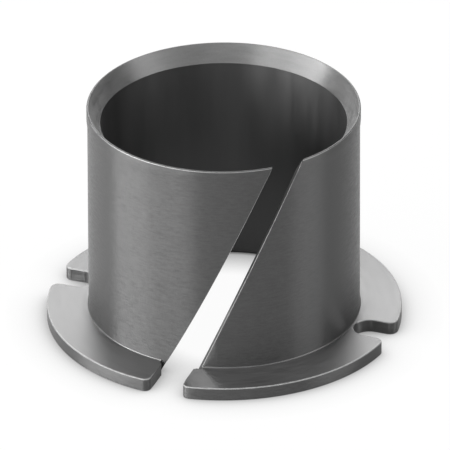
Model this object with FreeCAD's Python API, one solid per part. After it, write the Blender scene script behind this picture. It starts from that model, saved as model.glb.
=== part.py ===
"""Flanged clip bearing: a thin plastic sleeve with a notched flange at its foot, moulded in one piece.

The frame is +Z up along the bore, with the origin on the bore's axis at the underside of the flange.
The gap in the flange faces -Y, and the two notches face +X and -X.
Lengths are in millimetres and angles in degrees.
"""
import FreeCAD, Part
import math
import os

V = FreeCAD.Vector
UP = V(0, 0, 1)
AXIS_FOOT = V(0, 0, 0)

# Sleeve
bore_diameter = 18.0
sleeve_wall = 0.94
overall_length = 17.25
bore_foot_chamfer = 0.4

# Rim: a faint lip outside and a conical lead-in inside, with a narrow land between them
lip_height = 0.9
lip_step = 0.06
lip_ramp_length = 0.55
lead_in_depth = 1.22
rim_land = 0.04
rim_edge_radius = 0.1

# Flange: its upper edges are rounded, its lower ones just broken
flange_diameter = 26.0
flange_thickness = 1.0
flange_edge_radius = 0.08
flange_foot_chamfer = 0.06
junction_radius = 0.1

# Round-ended notches on the two sides of the flange
notch_angles = (-0.8, 180.6)
notch_width = 2.35
notch_corner_radius = 0.65
notch_end_clearance = 0.02

# Gap through the flange, below the foot of the slit
gap_angle = -90.0
gap_width = 2.5
gap_corner_radius = 0.52

# Slit through the front wall: it leans to the right, and each of its faces is drawn straight out
slit_foot_angle = -90.55
slit_foot_width = 2.74
slit_left_drawn_angle = -64.3
slit_left_lean = 25.22
slit_left_corner_radius = 0.08
slit_right_drawn_angle = -74.8
slit_right_lean = 23.99
slit_right_corner_radius = 0.4
slit_rim_flare = 8.0

# Where the slit and the gap meet, both reach a little past the sleeve's outside
slit_reach_into_flange = 0.24
gap_reach_into_sleeve = 0.14
gap_end_margin = 0.12

# Sizes that follow from them
bore_radius = bore_diameter / 2
sleeve_radius = bore_radius + sleeve_wall
rim_radius = sleeve_radius + lip_step
lead_in_radius = rim_radius - rim_edge_radius - rim_land
flange_radius = flange_diameter / 2
junction_top = flange_thickness + junction_radius
notch_floor_radius = sleeve_radius + junction_radius + flange_edge_radius + notch_end_clearance
overrun = 1.0


def direction(angle):
    """Level unit vector that points out from the bore's axis at an angle from +X."""
    return V(math.cos(math.radians(angle)), math.sin(math.radians(angle)), 0)


def outline(corners, place):
    """Closed wire through corners (a, b, radius), rounded by tangent arcs; place puts (a, b) in space."""
    edges = []
    ends = []
    for i, (a, b, radius) in enumerate(corners):
        corner = V(a, b, 0)
        to_last = (V(*corners[i - 1][:2], 0) - corner).normalize()
        to_next = (V(*corners[(i + 1) % len(corners)][:2], 0) - corner).normalize()
        if radius == 0:
            ends.append((corner, corner))
            continue
        half_angle = to_last.getAngle(to_next) / 2
        start = corner + to_last * (radius / math.tan(half_angle))
        stop = corner + to_next * (radius / math.tan(half_angle))
        middle_line = (to_last + to_next).normalize()
        middle = corner + middle_line * (radius / math.sin(half_angle) - radius)
        edges.append(Part.Arc(place(start), place(middle), place(stop)).toShape())
        ends.append((start, stop))
    for i, (start, _) in enumerate(ends):
        last_stop = ends[i - 1][1]
        edges.append(Part.LineSegment(place(last_stop), place(start)).toShape())
    return Part.Wire(Part.__sortEdges__(edges))


def on_section_plane(point):
    """Place of a section's point (radius, height); the section lies where the slit opens the wall."""
    return direction(slit_right_drawn_angle) * point.x + UP * point.y


def turned(wire):
    """Solid of revolution of a section about the bore's axis."""
    return Part.Face(wire).revolve(AXIS_FOOT, UP, 360)


def radial_slot(angle, width, floor_radius):
    """Round-ended cutter that runs from floor_radius out past the flange, as tall as the flange and more."""
    height = flange_thickness + 2 * overrun
    half = width / 2
    centre = floor_radius + half
    end = Part.makeCylinder(half, height, V(centre, 0, -overrun))
    run = flange_radius + overrun - centre
    sides = Part.makeBox(run, width, height, V(centre, -half, -overrun))
    slot = end.fuse(sides)
    slot.rotate(AXIS_FOOT, UP, angle)
    return slot


def corner_edges(solid, angle, width):
    """The two upright edges that a slot leaves on the flange's outer face."""
    found = []
    for edge in solid.Edges:
        spot = edge.CenterOfMass
        upright = edge.BoundBox.ZLength > flange_thickness / 2
        on_outer_face = math.hypot(spot.x, spot.y) > flange_radius - width / 4
        turn = math.degrees(math.atan2(spot.y, spot.x)) - angle
        off_centre = abs(math.sin(math.radians(turn))) * flange_radius
        ahead = math.cos(math.radians(turn)) > 0
        if upright and on_outer_face and ahead and abs(off_centre - width / 2) < width / 4:
            found.append(edge)
    return found


def level_edges(solid, height):
    """The edges that lie in the level plane at a height."""
    tolerance = flange_foot_chamfer / 2
    boxes = [(edge, edge.BoundBox) for edge in solid.Edges]
    return [edge for edge, box in boxes if box.ZLength < tolerance and abs(box.ZMin - height) < tolerance]


def flange_plate():
    """Disc with its two notches and its gap, all its edges broken, open in the middle for the sleeve."""
    slots = [(angle, notch_width, notch_floor_radius, notch_corner_radius) for angle in notch_angles]
    slots.append((gap_angle, gap_width, bore_radius - gap_width, gap_corner_radius))
    plate = Part.makeCylinder(flange_radius, flange_thickness)
    for angle, width, floor_radius, corner_radius in slots:
        plate = plate.cut(radial_slot(angle, width, floor_radius))
        plate = plate.makeFillet(corner_radius, corner_edges(plate, angle, width))
    plate = plate.makeFillet(flange_edge_radius, level_edges(plate, flange_thickness))
    plate = plate.makeChamfer(flange_foot_chamfer, level_edges(plate, 0))
    return plate.cut(Part.makeCylinder(sleeve_radius, flange_thickness))


def tube():
    """Whole sleeve with its lead-in, lip and foot chamfer, before the slit is made."""
    lip_foot = overall_length - lip_height
    section = [
        (bore_radius + bore_foot_chamfer, 0, 0),
        (bore_radius, bore_foot_chamfer, 0),
        (bore_radius, overall_length - lead_in_depth, 0),
        (lead_in_radius, overall_length, 0),
        (rim_radius, overall_length, rim_edge_radius),
        (rim_radius, lip_foot, 0),
        (sleeve_radius, lip_foot - lip_ramp_length, 0),
        (sleeve_radius, 0, 0),
    ]
    return turned(outline(section, on_section_plane))


def junction_fillet():
    """Small round in the corner between the sleeve and the top of the flange."""
    on_sleeve = V(sleeve_radius, junction_top, 0)
    corner = V(sleeve_radius, flange_thickness, 0)
    on_flange = V(sleeve_radius + junction_radius, flange_thickness, 0)
    centre = V(sleeve_radius + junction_radius, junction_top, 0)
    middle = centre + (corner - centre).normalize() * junction_radius
    arc = Part.Arc(*[on_section_plane(point) for point in (on_sleeve, middle, on_flange)])
    flat = Part.LineSegment(on_section_plane(on_flange), on_section_plane(corner))
    upright = Part.LineSegment(on_section_plane(corner), on_section_plane(on_sleeve))
    return turned(Part.Wire([arc.toShape(), flat.toShape(), upright.toShape()]))


def gap_end():
    """Flat-ended cutter for the gap's inner end, past the junction and a little into the sleeve."""
    floor = sleeve_radius - gap_reach_into_sleeve
    depth = gap_reach_into_sleeve + slit_reach_into_flange
    width = gap_width + 2 * gap_end_margin
    cutter = Part.makeBox(depth, width, junction_top + overrun, V(floor, -width / 2, -overrun))
    cutter.rotate(AXIS_FOOT, UP, gap_angle)
    return cutter


def slit_half(side, drawn_angle, lean, corner_radius):
    """Everything on the slit's side of its left (-1) or right (+1) face, flared to round the rim's corner."""
    outward = direction(drawn_angle)
    across = UP.cross(outward)
    foot_turn = math.asin(slit_foot_width / 2 / sleeve_radius)
    foot_angle = math.radians(slit_foot_angle - drawn_angle) + side * foot_turn
    foot = sleeve_radius * math.sin(foot_angle)
    slope = math.tan(math.radians(lean))
    top = foot + overall_length * slope
    rise = flange_radius * math.tan(math.radians(slit_rim_flare))
    far = top - side * flange_diameter
    corners = [
        (foot - overrun * slope, -overrun, 0),
        (top, overall_length, corner_radius),
        (top + side * flange_radius, overall_length + rise, 0),
        (far, overall_length + rise, 0),
        (far, -overrun, 0),
    ]
    nearest = outward * (bore_radius / 2)
    wire = outline(corners, lambda point: nearest + across * point.x + UP * point.y)
    return Part.Face(wire).extrude(outward * flange_radius)


def slit_blade():
    """The leaning blade that parts the front wall and just reaches into the flange."""
    left = slit_half(-1, slit_left_drawn_angle, slit_left_lean, slit_left_corner_radius)
    right = slit_half(1, slit_right_drawn_angle, slit_right_lean, slit_right_corner_radius)
    reach = sleeve_radius + slit_reach_into_flange
    bound = Part.makeCylinder(reach, overall_length + 2 * overrun, V(0, 0, -overrun))
    return left.common(right).common(bound)


def clip_bearing():
    """The whole moulding: the turned and flat forms joined first, and then parted by the gap and the slit."""
    body = flange_plate().fuse([tube(), junction_fillet()]).removeSplitter()
    return body.cut([gap_end(), slit_blade()])


os.makedirs("parts", exist_ok=True)
shape = clip_bearing()
solid = shape.Solids[0]
solid.exportStep("parts/clip_bearing.step")
print("solids", len(shape.Solids), "valid", shape.isValid(), "volume", round(shape.Volume, 2), "mm3")
box = solid.optimalBoundingBox(False, False)
print("box", [round(v, 3) for v in (box.XMin, box.YMin, box.ZMin, box.XMax, box.YMax, box.ZMax)])
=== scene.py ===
"""Flanged clip bearing: a thin moulded plastic sleeve with a notched flange, on a pale floor in studio light.

Everything is in metres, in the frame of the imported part: +Z up the bore, the gap in the flange facing -Y.
"""
import math
import bpy
from mathutils import Matrix, Vector


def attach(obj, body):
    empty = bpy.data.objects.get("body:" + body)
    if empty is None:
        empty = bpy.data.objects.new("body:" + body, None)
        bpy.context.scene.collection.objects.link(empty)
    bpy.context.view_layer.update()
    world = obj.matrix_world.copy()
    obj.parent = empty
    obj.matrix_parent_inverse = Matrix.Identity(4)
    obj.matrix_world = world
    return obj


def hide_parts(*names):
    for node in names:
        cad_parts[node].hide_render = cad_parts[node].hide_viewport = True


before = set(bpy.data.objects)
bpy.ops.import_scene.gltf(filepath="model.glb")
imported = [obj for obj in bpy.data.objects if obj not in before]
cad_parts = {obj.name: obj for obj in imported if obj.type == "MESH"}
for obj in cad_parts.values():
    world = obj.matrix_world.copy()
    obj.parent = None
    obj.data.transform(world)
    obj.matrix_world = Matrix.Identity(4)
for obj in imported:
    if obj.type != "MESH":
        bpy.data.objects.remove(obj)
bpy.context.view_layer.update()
bpy.ops.object.select_all(action="DESELECT")

# Flanged clip bearing.
# One moulding of dark grey engineering plastic, with a notched flange at the foot of a thin slit sleeve.
# It is modelled a thousand times up, a unit for a millimetre, and brought to size once its shape is done.
MILLIMETRE = 0.001
ROUND_STEPS = 288

# Two places closer than FINE are one and the same, and what is within CLOSE of a surface lies on it.
FINE = 0.001
CLOSE = 0.01

# The sleeve's section is drawn up the outside, over the rim, and down the lead-in and the bore. The round
# at its foot starts just below the flange's top, so that sleeve and flange join without a step.
BORE_RADIUS = 9.0
FOOT_CHAMFER = 0.4
SLEEVE_RADIUS = 9.94
SLEEVE_HEIGHT = 17.25
RIM_RADIUS = 10.0
LIP_HEIGHT = 0.9
LIP_RAMP = 0.55
LEAD_IN_RADIUS = 9.86
LEAD_IN_DEPTH = 1.22
EDGE_RADIUS = 0.1
FLANGE_THICKNESS = 1.0
JUNCTION_ROOT = (10.09, 0.985)
SLEEVE_SEAM_TURN = 0.6


def section_arc(centre, radius, start, stop, steps):
    """Points (radius, height) of an arc in the section, from one angle in degrees to another."""
    turns = [math.radians(start + (stop - start) * i / steps) for i in range(steps + 1)]
    return [(centre[0] + radius * math.cos(t), centre[1] + radius * math.sin(t)) for t in turns]


def apply_place(made):
    """Moves an object's place, turn and scale into its mesh."""
    bpy.ops.object.select_all(action="DESELECT")
    bpy.context.view_layer.objects.active = made
    made.select_set(True)
    bpy.ops.object.transform_apply(location=True, rotation=True, scale=True)


def face_outwards():
    """In edit mode, turns every face of a closed mesh outwards."""
    bpy.ops.mesh.select_all(action="SELECT")
    bpy.ops.mesh.normals_make_consistent(inside=False)


lip_foot = SLEEVE_HEIGHT - LIP_HEIGHT
lead_in_foot = SLEEVE_HEIGHT - LEAD_IN_DEPTH
junction_top = FLANGE_THICKNESS + EDGE_RADIUS
section = [(BORE_RADIUS + FOOT_CHAMFER, 0.0), (SLEEVE_RADIUS, 0.0), JUNCTION_ROOT]
section += section_arc((SLEEVE_RADIUS + EDGE_RADIUS, junction_top), EDGE_RADIUS, 255, 180, 4)
section += [(SLEEVE_RADIUS, lip_foot - LIP_RAMP), (RIM_RADIUS, lip_foot)]
section += section_arc((RIM_RADIUS - EDGE_RADIUS, SLEEVE_HEIGHT - EDGE_RADIUS), EDGE_RADIUS, 0, 90, 5)
section += [(LEAD_IN_RADIUS, SLEEVE_HEIGHT), (BORE_RADIUS, lead_in_foot), (BORE_RADIUS, FOOT_CHAMFER)]
bpy.ops.mesh.primitive_circle_add(vertices=ROUND_STEPS, radius=section[0][0], fill_type="NOTHING",
                                  rotation=(0, 0, math.radians(SLEEVE_SEAM_TURN)))
moulding = bpy.context.object
moulding.name = "clip_bearing_moulding"
apply_place(moulding)
bpy.ops.object.mode_set(mode="EDIT")
bpy.ops.mesh.select_all(action="SELECT")
for (last_radius, last_height), (radius, height) in zip(section, section[1:]):
    bpy.ops.mesh.extrude_region_move(TRANSFORM_OT_translate={"value": (0, 0, height - last_height)})
    widen = radius / last_radius
    bpy.ops.transform.resize(value=(widen, widen, 1), center_override=(0, 0, 0))
bpy.ops.mesh.select_mode(type="EDGE")
bpy.ops.mesh.select_all(action="SELECT")
bpy.ops.mesh.region_to_loop()
bpy.ops.mesh.bridge_edge_loops()
face_outwards()
bpy.ops.object.mode_set(mode="OBJECT")

# The flange is a disc, open in the middle. It gets its two notches and its gap before it joins the sleeve.
# Each slot has its angle from +X in degrees, its width, and the radii of its floor and its outer corners.
FLANGE_RADIUS = 13.0
FLANGE_HOLE_RADIUS = 9.67
FLANGE_HOLE_STEPS = 100
FLANGE_HOLE_TURN = 0.011
CUTTER_HEIGHT = 4 * FLANGE_THICKNESS
SLOT_STEPS = 64
FACING_OUT = 0.01
slots = [
    (-0.8, 2.35, 10.14, 0.65),
    (180.6, 2.35, 10.14, 0.65),
    (-90.0, 2.5, 6.5, 0.52),
]


def level_direction(angle):
    """Level unit vector at an angle in degrees from +X."""
    return Vector((math.cos(math.radians(angle)), math.sin(math.radians(angle)), 0))


def select_where(kind, test):
    """In edit mode, selects just the vertices, edges or faces that pass a test of their place."""
    bpy.ops.mesh.select_mode(type=kind)
    bpy.ops.mesh.select_all(action="DESELECT")
    bpy.ops.object.mode_set(mode="OBJECT")
    mesh = bpy.context.object.data
    if kind == "VERT":
        for vertex in mesh.vertices:
            vertex.select = test(vertex.co)
    elif kind == "EDGE":
        for edge in mesh.edges:
            edge.select = test(*[mesh.vertices[i].co for i in edge.vertices])
    else:
        for face in mesh.polygons:
            face.select = test(face.center, face.normal)
    bpy.ops.object.mode_set(mode="EDIT")


def combine(body, operation, tool):
    """Joins a tool to a body, or cuts or bounds the body with it; the tool is used up."""
    modifier = body.modifiers.new("combine", "BOOLEAN")
    modifier.operation = operation
    modifier.solver = "EXACT"
    modifier.object = tool
    bpy.ops.object.select_all(action="DESELECT")
    bpy.context.view_layer.objects.active = body
    body.select_set(True)
    bpy.ops.object.modifier_apply(modifier=modifier.name)
    bpy.data.objects.remove(tool)
    bpy.ops.object.mode_set(mode="EDIT")
    bpy.ops.mesh.select_all(action="SELECT")
    bpy.ops.mesh.remove_doubles(threshold=2 * FINE)
    bpy.ops.mesh.delete_loose()
    bpy.ops.object.mode_set(mode="OBJECT")


bpy.ops.mesh.primitive_cylinder_add(vertices=ROUND_STEPS, radius=FLANGE_RADIUS, depth=FLANGE_THICKNESS,
                                    location=(0, 0, FLANGE_THICKNESS / 2))
flange = bpy.context.object
apply_place(flange)
bpy.ops.mesh.primitive_cylinder_add(vertices=FLANGE_HOLE_STEPS, radius=FLANGE_HOLE_RADIUS,
                                    depth=CUTTER_HEIGHT, rotation=(0, 0, FLANGE_HOLE_TURN))
combine(flange, "DIFFERENCE", bpy.context.object)
for angle, width, floor_radius, corner_radius in slots:
    outward = level_direction(angle)
    centre = outward * (floor_radius + width / 2)
    bpy.ops.mesh.primitive_cylinder_add(vertices=SLOT_STEPS, radius=width / 2, depth=CUTTER_HEIGHT,
                                        location=centre, rotation=(0, 0, math.radians(angle)))
    slot_tool = bpy.context.object
    apply_place(slot_tool)
    bpy.ops.object.mode_set(mode="EDIT")
    select_where("FACE", lambda place, normal: normal.dot(outward) > FACING_OUT)
    run_out = outward * (FLANGE_RADIUS + width - centre.length)
    bpy.ops.mesh.extrude_region_move(TRANSFORM_OT_translate={"value": run_out})
    face_outwards()
    bpy.ops.object.mode_set(mode="OBJECT")
    combine(flange, "DIFFERENCE", slot_tool)

# Each slot's outer corners are rounded; the short facets beside a corner go first, to make room for it.
# Then the flange's upper edges are rounded, and its lower ones are just broken.
FACETS_DROPPED = 0.8
FLANGE_EDGE_ROUND = 0.08
FLANGE_FOOT_CHAMFER = 0.06


def is_outer_upright(a, b, corner, nearest, furthest):
    """True for an upright edge of the flange's outer face that stands this far from a corner."""
    upright = abs(a.z - b.z) > FLANGE_THICKNESS / 2
    on_outer_face = a.xy.length > FLANGE_RADIUS - CLOSE
    return upright and on_outer_face and nearest < (a.xy - corner.xy).length < furthest


def is_beyond_hole(a, b):
    """True for an edge of the flange that isn't on the hole in its middle."""
    return min(a.xy.length, b.xy.length) > FLANGE_HOLE_RADIUS + CLOSE


bpy.context.view_layer.objects.active = flange
bpy.ops.object.mode_set(mode="EDIT")
for angle, width, floor_radius, corner_radius in slots:
    outward = level_direction(angle)
    across = Vector((-outward.y, outward.x, 0))
    half_corner = (math.pi / 2 - math.asin(width / 2 / FLANGE_RADIUS)) / 2
    for side in (-1, 1):
        corner = outward * math.sqrt(FLANGE_RADIUS ** 2 - width ** 2 / 4) + across * (side * width / 2)
        select_where("EDGE", lambda a, b: is_outer_upright(a, b, corner, CLOSE, FACETS_DROPPED))
        bpy.ops.mesh.dissolve_edges(use_verts=True)
        select_where("EDGE", lambda a, b: is_outer_upright(a, b, corner, -FINE, CLOSE))
        bpy.ops.mesh.bevel(offset_type="OFFSET", offset=corner_radius / math.tan(half_corner), segments=8,
                           profile=0.5, clamp_overlap=False)
select_where("EDGE", lambda a, b: min(a.z, b.z) > FLANGE_THICKNESS - FINE and is_beyond_hole(a, b))
bpy.ops.mesh.bevel(offset_type="OFFSET", offset=FLANGE_EDGE_ROUND, segments=3, profile=0.5,
                   clamp_overlap=False)
select_where("EDGE", lambda a, b: max(a.z, b.z) < FINE and is_beyond_hole(a, b))
bpy.ops.mesh.bevel(offset_type="OFFSET", offset=FLANGE_FOOT_CHAMFER, segments=1, clamp_overlap=False)
bpy.ops.object.mode_set(mode="OBJECT")
combine(moulding, "UNION", flange)

# The gap's inner end is cut square, a little way into the foot of the sleeve.
GAP_END_SIZE = (2.74, 0.38, 2.1)
GAP_END_PLACE = (0, -9.99, 0.05)
bpy.ops.mesh.primitive_cube_add(size=1, location=GAP_END_PLACE)
gap_end_tool = bpy.context.object
bpy.ops.transform.resize(value=GAP_END_SIZE)
apply_place(gap_end_tool)
combine(moulding, "DIFFERENCE", gap_end_tool)

# The slit is a leaning blade. Each of its two faces is drawn out in its own direction, and above the rim
# it flares to both sides, so that its rounded hollow corners round the tips of the two panels. A face has
# its side, its drawn angle from +X and its lean from upright in degrees, and the radius of its panel's tip.
SLIT_FOOT_ANGLE = -90.55
SLIT_FOOT_WIDTH = 2.74
BLADE_INNER = 5.0
BLADE_OUTER = 15.0
BLADE_FOOT = -1.0
BLADE_REACH = 10.18
BLADE_BOUND_HEIGHT = 60.0
FLARE = 3.0
FLARE_RISE = math.radians(8.0)
MOSTLY = 0.9
slit_faces = []
for side, drawn_angle, lean, tip_radius in ((-1, -64.3, 25.22, 0.08), (1, -74.8, 23.99, 0.4)):
    outward = level_direction(drawn_angle)
    across = Vector((-outward.y, outward.x, 0))
    foot_turn = (math.radians(SLIT_FOOT_ANGLE - drawn_angle)
                 + side * math.asin(SLIT_FOOT_WIDTH / 2 / SLEEVE_RADIUS))
    foot = SLEEVE_RADIUS * math.sin(foot_turn)
    slit_faces.append((side, outward, across, foot, math.radians(lean), tip_radius))
bpy.ops.mesh.primitive_cube_add(size=2)
blade = bpy.context.object
bpy.ops.object.mode_set(mode="EDIT")
for side, outward, across, foot, lean, tip_radius in slit_faces:
    for reach, near_or_far in ((BLADE_INNER, 1), (BLADE_OUTER, -1)):
        for level, low_or_high in ((BLADE_FOOT, -1), (SLEEVE_HEIGHT, 1)):
            old = Vector((side, near_or_far, low_or_high))
            new = outward * reach + across * (foot + level * math.tan(lean)) + Vector((0, 0, level))
            select_where("VERT", lambda place: (place - old).length < FINE)
            bpy.ops.transform.translate(value=new - old)
select_where("FACE", lambda place, normal: normal.z > MOSTLY)
bpy.ops.mesh.extrude_region_move(TRANSFORM_OT_translate={"value": (0, 0, FLARE)})
for side, outward, across, foot, lean, tip_radius in slit_faces:
    tip = foot + SLEEVE_HEIGHT * math.tan(lean)
    select_where("FACE", lambda place, normal: place.z > SLEEVE_HEIGHT + FINE
                 and normal.dot(across) * side > MOSTLY)
    bpy.ops.mesh.extrude_region_move(TRANSFORM_OT_translate={"value": across * side * FLARE})
    select_where("VERT", lambda place: abs(place.z - SLEEVE_HEIGHT) < FINE
                 and (place.dot(across) - tip) * side > FLARE - FINE)
    bpy.ops.transform.translate(value=(0, 0, FLARE * math.tan(FLARE_RISE)))
    select_where("EDGE", lambda a, b: max(abs(a.z - SLEEVE_HEIGHT), abs(b.z - SLEEVE_HEIGHT),
                                          abs(a.dot(across) - tip), abs(b.dot(across) - tip)) < FINE)
    half_tip = (math.pi / 2 + FLARE_RISE + side * lean) / 2
    bpy.ops.mesh.bevel(offset_type="OFFSET", offset=tip_radius / math.tan(half_tip), segments=5, profile=0.5,
                       clamp_overlap=False)
face_outwards()
bpy.ops.object.mode_set(mode="OBJECT")
bpy.ops.mesh.primitive_cylinder_add(vertices=ROUND_STEPS, radius=BLADE_REACH, depth=BLADE_BOUND_HEIGHT)
combine(blade, "INTERSECT", bpy.context.object)
combine(moulding, "DIFFERENCE", blade)

# The edges of the slit's two faces are just broken.
EDGE_BREAK = 0.05
SQUARE_ON = 0.999


def slit_face_normal(across, lean):
    """Unit vector square to a face of the slit."""
    return (across - Vector((0, 0, math.tan(lean)))).normalized()


bpy.ops.object.mode_set(mode="EDIT")
for side, outward, across, foot, lean, tip_radius in slit_faces:
    square = slit_face_normal(across, lean)
    select_where("FACE", lambda place, normal: abs(normal.dot(square)) > SQUARE_ON
                 and abs(place.dot(square) - foot * math.cos(lean)) < CLOSE)
    bpy.ops.mesh.region_to_loop()
    bpy.ops.mesh.bevel(offset_type="OFFSET", offset=EDGE_BREAK, segments=2, profile=0.5, clamp_overlap=False)
bpy.ops.object.mode_set(mode="OBJECT")

# The shape is done, so it is brought to its real size, and its rounds are shaded smooth.
SMOOTH_BELOW = math.radians(24)
bpy.ops.object.select_all(action="DESELECT")
bpy.context.view_layer.objects.active = moulding
moulding.select_set(True)
bpy.ops.transform.resize(value=(MILLIMETRE, MILLIMETRE, MILLIMETRE), center_override=(0, 0, 0))
apply_place(moulding)
bpy.ops.object.shade_smooth_by_angle(angle=SMOOTH_BELOW)
weighing = moulding.modifiers.new("weighing", "WEIGHTED_NORMAL")
weighing.keep_sharp = True
bpy.ops.object.modifier_apply(modifier=weighing.name)

# The finish is that of the mould, which was turned: fine rings run round every surface, and they draw the
# gloss out square to themselves. The real rings are some 0.03 mm apart and the real grain is finer still,
# and a pixel of the render is 0.07 mm. So both are drawn coarser than they are, to show: the grain at a
# ninth of a millimetre, and the rings as each finish says. In height the rings drift by a quarter of a
# millimetre, in waves of 5.6 mm.
GRAIN_MM = 1 / 9
DRIFT_MM = 50 / 9
DRIFT_HEIGHT_MM = 0.25
GRAIN_SHARE = 0.35
RELIEF_SPREAD = 0.2
TONE_SPREAD = 0.22
QUARTER_TURN = 0.25


def paint(hex_colour):
    """Linear RGBA of an sRGB hex colour."""
    channels = [int(hex_colour[i:i + 2], 16) / 255 for i in (1, 3, 5)]
    linear = [c / 12.92 if c <= 0.04045 else ((c + 0.055) / 1.055) ** 2.4 for c in channels]
    return (*linear, 1.0)


def add_node(tree, kind, settings=(), links=()):
    """Adds a node, sets its properties and its sockets by name or number, and links outputs into it."""
    made = tree.nodes.new(kind)
    for name, value in dict(settings).items():
        if isinstance(name, str) and hasattr(made, name):
            setattr(made, name, value)
        else:
            made.inputs[name].default_value = value
    for name, source in dict(links).items():
        tree.links.new(source, made.inputs[name])
    return made


def moulded_plastic(finish, colour, roughness, uneven, gloss, directional, ring_depth_mm, ring_mm,
                    on_wall=True):
    """Moulded dark grey engineering plastic that copies one part of the mould's finish, in a colour that on
    some parts paints light or shade.

    A ring breaks up into pieces of ring_mm = (length, width). They are stacked in height on a wall, and in
    radius on a level face, and they drift a little in height. Tone and roughness vary with their relief,
    the roughness by uneven to both sides.
    """
    made = bpy.data.materials.new("moulded_grey_plastic_" + finish)
    made.use_nodes = True
    tree = made.node_tree
    tree.nodes.clear()
    place = add_node(tree, "ShaderNodeTexCoord").outputs["Object"]
    apart = add_node(tree, "ShaderNodeSeparateXYZ", (), {0: place})
    level = add_node(tree, "ShaderNodeCombineXYZ", (), {"X": apart.outputs["X"], "Y": apart.outputs["Y"]})
    from_axis = add_node(tree, "ShaderNodeVectorMath", {"operation": "LENGTH"}, {0: level.outputs[0]})
    outward = add_node(tree, "ShaderNodeVectorMath", {"operation": "NORMALIZE"}, {0: level.outputs[0]})
    around = add_node(tree, "ShaderNodeVectorMath", {"operation": "CROSS_PRODUCT", 0: (0, 0, 1)},
                      {1: outward.outputs[0]})
    stacked = apart.outputs["Z"] if on_wall else from_axis.outputs["Value"]
    drift = add_node(tree, "ShaderNodeTexNoise", {"Scale": 1 / (DRIFT_MM * MILLIMETRE), "Detail": 1.0},
                     {"Vector": place})
    slant = add_node(tree, "ShaderNodeMath", {"operation": "MULTIPLY_ADD", 1: DRIFT_HEIGHT_MM * MILLIMETRE},
                     {0: drift.outputs["Fac"], 2: stacked})
    ring_length, ring_width = ring_mm
    height = add_node(tree, "ShaderNodeMath", {"operation": "MULTIPLY", 1: 1 / (ring_width * MILLIMETRE)},
                      {0: slant.outputs[0]})
    spread = add_node(tree, "ShaderNodeVectorMath", {"operation": "SCALE",
                      "Scale": SLEEVE_RADIUS / ring_length}, {0: outward.outputs[0]})
    lift = add_node(tree, "ShaderNodeCombineXYZ", (), {"Z": height.outputs[0]})
    ring_place = add_node(tree, "ShaderNodeVectorMath", {"operation": "ADD"},
                          {0: spread.outputs[0], 1: lift.outputs[0]})
    rings = add_node(tree, "ShaderNodeTexNoise", {"Scale": 1.0, "Detail": 4.0, "Roughness": 0.65},
                     {"Vector": ring_place.outputs[0]})
    grain = add_node(tree, "ShaderNodeTexNoise", {"Scale": 1 / (GRAIN_MM * MILLIMETRE), "Detail": 2.0},
                     {"Vector": place})
    relief = add_node(tree, "ShaderNodeMath", {"operation": "MULTIPLY_ADD", 1: GRAIN_SHARE},
                      {0: grain.outputs["Fac"], 2: rings.outputs["Fac"]})
    bump = add_node(tree, "ShaderNodeBump", {"Strength": 1.0, "Distance": ring_depth_mm * MILLIMETRE},
                    {"Height": relief.outputs[0]})
    middle = (1 + GRAIN_SHARE) / 2
    shade = add_node(tree, "ShaderNodeMapRange", {"From Min": middle - RELIEF_SPREAD,
                     "From Max": middle + RELIEF_SPREAD}, {"Value": relief.outputs[0]})
    dark, light = [tuple(c * share for c in paint(colour)[:3]) + (1.0,)
                   for share in (1 - TONE_SPREAD, 1 + TONE_SPREAD)]
    tone = add_node(tree, "ShaderNodeMix", {"data_type": "RGBA", 6: dark, 7: light}, {0: shade.outputs[0]})
    dull = add_node(tree, "ShaderNodeMapRange", {"To Min": roughness - uneven, "To Max": roughness + uneven},
                    {"Value": shade.outputs[0]})
    shader = add_node(tree, "ShaderNodeBsdfPrincipled", {"IOR": 1.5, "Specular IOR Level": gloss,
                      "Anisotropic": directional, "Anisotropic Rotation": QUARTER_TURN},
                      {"Base Color": tone.outputs[2], "Roughness": dull.outputs[0],
                       "Tangent": around.outputs[0], "Normal": bump.outputs[0]})
    add_node(tree, "ShaderNodeOutputMaterial", (), {"Surface": shader.outputs[0]})
    return made


# Each finish is laid on the faces that pass its test; the outside is what no test takes. The tests are of
# a face's place in millimetres and of its normal, whose part along Z tells walls from cones and edges.
NEAR = 0.05
WALL_TILT = 0.1
LEAD_IN_TILT = (0.3, 0.8)
EDGE_TILT = (0.1, 0.98)
CRISP_EDGE_FROM = 10.2
RADIAL_AT_MOST = 0.96
CUT_AT_MOST = 0.99
UPWARD_AT_MOST = 0.5


def is_bore(place, normal):
    """True for a face of the plain bore."""
    return place.xy.length < BORE_RADIUS + NEAR and abs(normal.z) < WALL_TILT


def is_lead_in(place, normal):
    """True for a face of the cone inside the rim."""
    inside = place.xy.length < LEAD_IN_RADIUS + CLOSE and place.z > lead_in_foot
    return inside and LEAD_IN_TILT[0] < normal.z < LEAD_IN_TILT[1]


def is_flange_top(place, normal):
    """True for a face of the flange's level top."""
    return abs(place.z - FLANGE_THICKNESS) < CLOSE and normal.z > MOSTLY


def is_soft_edge(place, normal):
    """True for a face of the rim's rounded edge or of the junction of sleeve and flange, which get a faint
    painted highlight.
    """
    at_rim = place.z > SLEEVE_HEIGHT - EDGE_RADIUS and place.xy.length > LEAD_IN_RADIUS
    at_junction = (FLANGE_THICKNESS - 2 * CLOSE < place.z < junction_top + CLOSE
                   and SLEEVE_RADIUS - CLOSE < place.xy.length < SLEEVE_RADIUS + EDGE_RADIUS + NEAR)
    return EDGE_TILT[0] < normal.z < EDGE_TILT[1] and (at_rim or at_junction)


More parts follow.
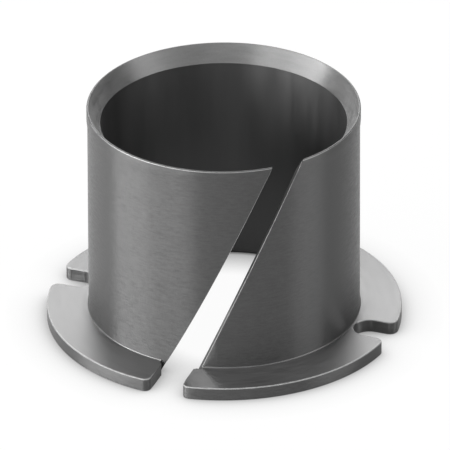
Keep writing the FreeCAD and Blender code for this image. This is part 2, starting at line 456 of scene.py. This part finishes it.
def is_crisp_edge(place, normal):
    """True for a face of the flange's rounded upper edge or of the slit's broken edges, which get a painted
    highlight.
    """
    if FLANGE_THICKNESS - 2 * NEAR < place.z < FLANGE_THICKNESS and place.xy.length > CRISP_EDGE_FROM:
        return EDGE_TILT[0] < normal.z < EDGE_TILT[1]
    if not junction_top + NEAR < place.z < SLEEVE_HEIGHT - NEAR:
        return False
    radial = abs(normal.dot(Vector((place.x, place.y, 0)).normalized()))
    cut = max(abs(normal.dot(slit_face_normal(across, lean)))
              for side, outward, across, foot, lean, tip_radius in slit_faces)
    return radial < RADIAL_AT_MOST and cut < CUT_AT_MOST and abs(normal.z) < UPWARD_AT_MOST


finishes = [
    # Outside, from a turned cavity: strong fine rings that spread each softbox into a tall silky band.
    (moulded_plastic("outside", "#2D2D2D", roughness=0.38, uneven=0.08, gloss=0.4, directional=0.95,
                     ring_depth_mm=0.005, ring_mm=(0.6, 0.12)), None),
    # Bore, from a polished core that is pulled out lengthwise: even, with faint upright streaks, and darker
    # than the outside, which is painted shade in the bore.
    (moulded_plastic("bore", "#222222", roughness=0.40, uneven=0.04, gloss=0.68, directional=0.6,
                     ring_depth_mm=0.0003, ring_mm=(1.4, 9.0)), is_bore),
    # Lead-in cone, from the finely turned end of the core: a satin with a soft patch for a softbox, in a
    # colour lighter than the outside's, which is painted light on the upturned cone.
    (moulded_plastic("lead_in", "#424242", roughness=0.40, uneven=0.06, gloss=0.75, directional=0.85,
                     ring_depth_mm=0.001, ring_mm=(2.0, 0.3)), is_lead_in),
    # Flange's top, from a faced plate of the mould: a smooth sheen that turns with the rings.
    (moulded_plastic("flange_top", "#2C2C2C", roughness=0.40, uneven=0.04, gloss=1.0, directional=0.6,
                     ring_depth_mm=0.0006, ring_mm=(2.0, 0.25), on_wall=False), is_flange_top),
    # Rim and junction, with soft rounds: a thin, quiet line of light, partly from the rounds and partly
    # painted highlight in a colour a little paler than the outside's.
    (moulded_plastic("soft_edges_painted_highlight", "#343434", roughness=0.36, uneven=0.05, gloss=0.6, directional=0.0,
                     ring_depth_mm=0.0003, ring_mm=(1.5, 0.3)), is_soft_edge),
    # Flange's upper edge and the slit's edges: a bright thin line, partly from their rounds and breaks and
    # partly painted highlight in a colour much paler than the outside's.
    (moulded_plastic("crisp_edges_painted_highlight", "#646464", roughness=0.34, uneven=0.05, gloss=0.7, directional=0.0,
                     ring_depth_mm=0.0003, ring_mm=(0.5, 0.5)), is_crisp_edge),
]
for number, (finish, test) in enumerate(finishes):
    moulding.data.materials.append(finish)
    for face in moulding.data.polygons:
        if test and test(face.center / MILLIMETRE, face.normal):
            face.material_index = number
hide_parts("clip_bearing")
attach(moulding, "root")

# Floor.
# A sheet of matt white paper that glows white for the camera; a small share of it is lit paper, which keeps a
# faint real shadow of the part. Close to the part ambient occlusion dims the glow, a painted soft shadow, and
# the plastic mirrors the glow at half its brightness.
FLOOR_SIZE = 3.0
CONTACT_SHADE_MM = 3.2
SEEN_SHARE = 0.96
MIRRORED_SHARE = 0.5
bpy.ops.mesh.primitive_plane_add(size=FLOOR_SIZE)
floor = bpy.context.object
floor.name = "floor"
paper = bpy.data.materials.new("matt_white_paper")
paper.use_nodes = True
tree = paper.node_tree
tree.nodes.clear()
path = add_node(tree, "ShaderNodeLightPath")
lit = add_node(tree, "ShaderNodeBsdfDiffuse", {"Color": paint("#BFBFBF")})
# The occlusion dims the floor's glow near the part: painted soft shadow.
painted_contact_shadow = add_node(tree, "ShaderNodeAmbientOcclusion",
                    {"samples": 16, "Distance": CONTACT_SHADE_MM * MILLIMETRE})
glow = add_node(tree, "ShaderNodeEmission", {"Color": paint("#FFFFFF")}, {"Strength": painted_contact_shadow.outputs["AO"]})
mirrored = add_node(tree, "ShaderNodeMath", {"operation": "MAXIMUM"},
                    {0: path.outputs["Is Glossy Ray"], 1: path.outputs["Is Transmission Ray"]})
faint = add_node(tree, "ShaderNodeMath", {"operation": "MULTIPLY", 1: MIRRORED_SHARE},
                 {0: mirrored.outputs[0]})
seen = add_node(tree, "ShaderNodeMath", {"operation": "MULTIPLY", 1: SEEN_SHARE},
                {0: path.outputs["Is Camera Ray"]})
share = add_node(tree, "ShaderNodeMath", {"operation": "MAXIMUM"}, {0: seen.outputs[0], 1: faint.outputs[0]})
mixed = add_node(tree, "ShaderNodeMixShader", {}, {0: share.outputs[0], 1: lit.outputs[0], 2: glow.outputs[0]})
add_node(tree, "ShaderNodeOutputMaterial", {}, {"Surface": mixed.outputs[0]})
floor.data.materials.append(paper)

# Camera.
# It stands 1.2 m off with a long lens, 29 degrees above the floor and turned 20 degrees to the right of
# the gap, as the photograph was taken. There a picture of 450 pixels shows 13.683 pixels to a millimetre.
CAMERA_TURN = math.radians(19.65)
CAMERA_RISE = math.radians(28.743)
CAMERA_ROLL = math.radians(-0.202)
CAMERA_DISTANCE = 1.2
FRAME_PIXELS = 450
PIXELS_PER_MM = 13.683
SENSOR_WIDTH = 36.0
AIM_RIGHT = 0.00007
AIM_HEIGHT = 0.007424
right = Vector((math.cos(CAMERA_TURN), math.sin(CAMERA_TURN), 0))
level_back = Vector((math.sin(CAMERA_TURN), -math.cos(CAMERA_TURN), 0))
back = level_back * math.cos(CAMERA_RISE) + Vector((0, 0, math.sin(CAMERA_RISE)))
up = back.cross(right)
rolled_right = right * math.cos(CAMERA_ROLL) + up * math.sin(CAMERA_ROLL)
rolled_up = up * math.cos(CAMERA_ROLL) - right * math.sin(CAMERA_ROLL)
aim = right * AIM_RIGHT + Vector((0, 0, AIM_HEIGHT))
bpy.ops.object.camera_add()
camera = bpy.context.object
camera.name = "camera"
camera.matrix_world = Matrix.Translation(aim + back * CAMERA_DISTANCE) @ Matrix(
    (rolled_right, rolled_up, back)).transposed().to_4x4()
camera.data.sensor_width = SENSOR_WIDTH
camera.data.lens = SENSOR_WIDTH * CAMERA_DISTANCE / (FRAME_PIXELS / PIXELS_PER_MM * MILLIMETRE)
camera.data.clip_start = 0.1
camera.data.clip_end = 10.0
bpy.context.scene.camera = camera

# Studio light.
# Softboxes stand round the part, each named for its place as the camera sees it. Each has its turn to the
# right of the camera, its rise, its width and height as seen from the part, in degrees, and its radiance.
LAMP_DISTANCE = 0.35
softboxes = [
    ("left_key", -80, 12, 34, 26, 24.5),
    ("front_left", -45, 14, 40, 26, 15.5),
    ("right_key", 71, 14, 28, 28, 7.0),
    ("back_low", 180, 12, 60, 24, 0.5),
    ("back_high", 180, 38, 60, 28, 6.6),
    ("top_front_left", -60, 64, 40, 26, 6.0),
    ("top_front", 10, 64, 50, 26, 1.0),
    ("top_right", 78, 60, 44, 26, 3.6),
    ("front_high", 0, 42, 50, 26, 2.4),
    ("right_high", 86, 42, 34, 26, 2.6),
    ("right_front_high", 48, 42, 36, 26, 2.4),
    ("left_front_high", -48, 42, 36, 26, 0.8),
    ("left_back_high", -130, 42, 36, 26, 0.4),
]
for name, turn, rise, wide, high, radiance in softboxes:
    angle = CAMERA_TURN - math.pi / 2 + math.radians(turn)
    level_share = math.cos(math.radians(rise))
    away = Vector((math.cos(angle) * level_share, math.sin(angle) * level_share, math.sin(math.radians(rise))))
    bpy.ops.object.light_add(type="AREA")
    lamp = bpy.context.object
    lamp.name = name
    lamp.data.shape = "RECTANGLE"
    lamp.data.size = 2 * LAMP_DISTANCE * math.tan(math.radians(wide / 2)) * level_share
    lamp.data.size_y = 2 * LAMP_DISTANCE * math.tan(math.radians(high / 2))
    lamp.data.energy = radiance * math.pi * lamp.data.size * lamp.data.size_y
    facing_part = away.to_track_quat("Z", "Y").to_matrix().to_4x4()
    lamp.matrix_world = Matrix.Translation(aim + away * LAMP_DISTANCE) @ facing_part
    lamp.visible_camera = False

# The room beyond the softboxes is almost dark.
ROOM_LIGHT = 0.05
world = bpy.data.worlds.new("studio")
bpy.context.scene.world = world
world.use_nodes = True
world.node_tree.nodes.clear()
sky = add_node(world.node_tree, "ShaderNodeBackground", {"Color": paint("#FFFFFF"), "Strength": ROOM_LIGHT})
add_node(world.node_tree, "ShaderNodeOutputWorld", {}, {"Surface": sky.outputs["Background"]})

bpy.context.scene.view_settings.view_transform = "Standard"
